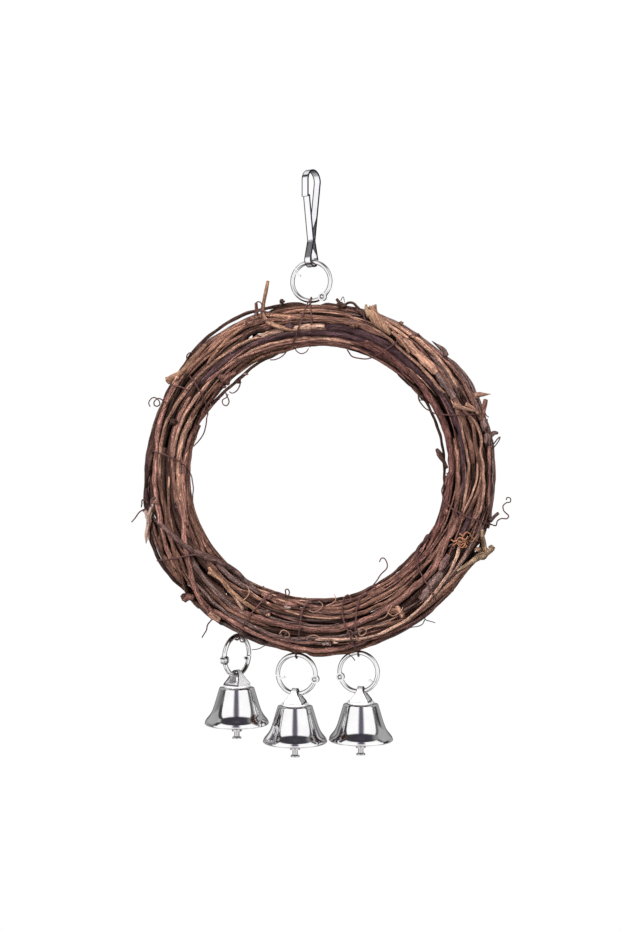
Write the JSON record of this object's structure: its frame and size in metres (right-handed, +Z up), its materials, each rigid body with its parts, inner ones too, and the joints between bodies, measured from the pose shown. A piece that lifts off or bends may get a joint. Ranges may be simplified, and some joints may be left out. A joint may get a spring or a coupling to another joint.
{
  "type": "hanging bird swing",
  "caption": "Pet bird swing of wound brown vine, hung on a spring snap hook and a split ring, with small nickel bells on split rings under it.",
  "frame": {"origin": "where the inside of the hook's top bend rests on the bar that carries it", "axes": "+X to the right along the wreath, +Y through the wreath's opening to the back, +Z up"},
  "size_m": [0.1714, 0.03, 0.27],
  "materials": {
    "spring_steel": "bright plated spring strip",
    "ring_nickel": "bright nickel plate",
    "bell_nickel": "polished nickel plate",
    "clapper_steel": "dark dull steel",
    "dark_bark": "dark dry bark",
    "bark": "dry bark, matt",
    "broken_wood": "peeled and broken wood, matt",
    "tendril": "dry tendril, matt",
    "binding_wire": "brown coated wire"
  },
  "bodies": {
    "hook": {"hook_strip": "spring_steel"},
    "hook_gate": {"hook_gate": "spring_steel"},
    "top_ring": {"top_ring_main_half": "ring_nickel", "top_ring_rivet": "ring_nickel"},
    "top_ring_leaf": {"top_ring_leaf_half": "ring_nickel"},
    "wreath": {"vine_core": "dark_bark", "vine_1": "bark", "vine_2": "bark", "vine_3": "bark", "vine_4": "bark", "vine_5": "bark", "crossing_vine": "bark", "upright_twig": "broken_wood", "left_stub": "broken_wood", "forked_stump": "broken_wood", "right_stub": "broken_wood", "bark_sliver": "broken_wood", "left_tendril": "tendril", "upper_left_tendril": "tendril", "inner_tendril": "tendril", "lower_left_tendril": "tendril", "right_tendril": "tendril", "top_hanger_wire": "binding_wire", "left_hanger_wire": "binding_wire", "centre_hanger_wire": "binding_wire", "right_hanger_wire": "binding_wire", "binding_wires_left": "binding_wire", "binding_wires_right": "binding_wire"},
    "left_ring": {"left_ring_main_half": "ring_nickel", "left_ring_rivet": "ring_nickel"},
    "left_ring_leaf": {"left_ring_leaf_half": "ring_nickel"},
    "left_bell": {"left_bell_shell": "bell_nickel", "left_bell_disc": "bell_nickel", "left_bell_strap": "bell_nickel", "left_bell_eye_rivet": "bell_nickel"},
    "left_clapper": {"left_bell_clapper": "clapper_steel"},
    "centre_ring": {"centre_ring_main_half": "ring_nickel", "centre_ring_rivet": "ring_nickel"},
    "centre_ring_leaf": {"centre_ring_leaf_half": "ring_nickel"},
    "centre_bell": {"centre_bell_shell": "bell_nickel", "centre_bell_disc": "bell_nickel", "centre_bell_strap": "bell_nickel", "centre_bell_eye_rivet": "bell_nickel"},
    "centre_clapper": {"centre_bell_clapper": "clapper_steel"},
    "right_ring": {"right_ring_main_half": "ring_nickel", "right_ring_rivet": "ring_nickel"},
    "right_ring_leaf": {"right_ring_leaf_half": "ring_nickel"},
    "right_bell": {"right_bell_shell": "bell_nickel", "right_bell_disc": "bell_nickel", "right_bell_strap": "bell_nickel", "right_bell_eye_rivet": "bell_nickel"},
    "right_clapper": {"right_bell_clapper": "clapper_steel"}
  },
  "joints": [
    {"name": "gate_flex", "type": "hinge", "parent": "hook", "child": "hook_gate", "pos_m": [-0.0003, -0.00043, -0.03188], "axis": [-0.8192, 0.5736, 0], "range_deg": [0, 15], "stiffness_Nm_per_rad": 0.02},
    {"name": "top_ring_swing", "type": "hinge", "parent": "hook", "child": "top_ring", "pos_m": [0, 0, -0.04161], "axis": [0.9703, -0.2419, 0], "range_deg": [-20, 20]},
    {"name": "top_ring_open", "type": "hinge", "parent": "top_ring", "child": "top_ring_leaf", "pos_m": [0.0051, -0.00127, -0.0578], "axis": [0.2419, 0.9703, 0], "range_deg": [0, 10]},
    {"name": "wreath_swing", "type": "hinge", "parent": "top_ring", "child": "wreath", "pos_m": [0, 0, -0.05951], "axis": [0, 1, 0], "range_deg": [-10, 10]},
    {"name": "left_ring_swing", "type": "hinge", "parent": "wreath", "child": "left_ring", "pos_m": [-0.03424, 0, -0.2137], "axis": [1, 0, 0], "range_deg": [-20, 20]},
    {"name": "left_ring_open", "type": "hinge", "parent": "left_ring", "child": "left_ring_leaf", "pos_m": [-0.03946, -0.00719, -0.22374], "axis": [-0.809, 0.5878, 0], "range_deg": [0, 10]},
    {"name": "left_bell_swing", "type": "hinge", "parent": "left_ring", "child": "left_bell", "pos_m": [-0.03424, 0, -0.2316], "axis": [1, 0, 0], "range_deg": [-15, 15]},
    {"name": "left_clapper_swing", "type": "hinge", "parent": "left_bell", "child": "left_clapper", "pos_m": [-0.03424, 0, -0.2402], "axis": [1, 0, 0], "range_deg": [-30, 30]},
    {"name": "centre_ring_swing", "type": "hinge", "parent": "wreath", "child": "centre_ring", "pos_m": [-0.00676, 0, -0.22223], "axis": [1, 0, 0], "range_deg": [-30, 30]},
    {"name": "centre_ring_open", "type": "hinge", "parent": "centre_ring", "child": "centre_ring_leaf", "pos_m": [0.0017, -0.00211, -0.23319], "axis": [-0.2419, -0.9703, 0], "range_deg": [0, 10]},
    {"name": "centre_bell_swing", "type": "hinge", "parent": "centre_ring", "child": "centre_bell", "pos_m": [-0.00746, 0.00017, -0.2401], "axis": [1, 0, 0], "range_deg": [-20, 20]},
    {"name": "centre_clapper_swing", "type": "hinge", "parent": "centre_bell", "child": "centre_clapper", "pos_m": [-0.00746, 0.00017, -0.2487], "axis": [1, 0, 0], "range_deg": [-30, 30]},
    {"name": "right_ring_swing", "type": "hinge", "parent": "wreath", "child": "right_ring", "pos_m": [0.02175, 0, -0.2213], "axis": [1, 0, 0], "range_deg": [-30, 30]},
    {"name": "right_ring_open", "type": "hinge", "parent": "right_ring", "child": "right_ring_leaf", "pos_m": [0.0134, 0.00208, -0.23271], "axis": [0.2419, 0.9703, 0], "range_deg": [0, 10]},
    {"name": "right_bell_swing", "type": "hinge", "parent": "right_ring", "child": "right_bell", "pos_m": [0.02275, -0.00025, -0.23914], "axis": [1, 0, 0], "range_deg": [-20, 20]},
    {"name": "right_clapper_swing", "type": "hinge", "parent": "right_bell", "child": "right_clapper", "pos_m": [0.02275, -0.00025, -0.24774], "axis": [1, 0, 0], "range_deg": [-30, 30]}
  ]
}
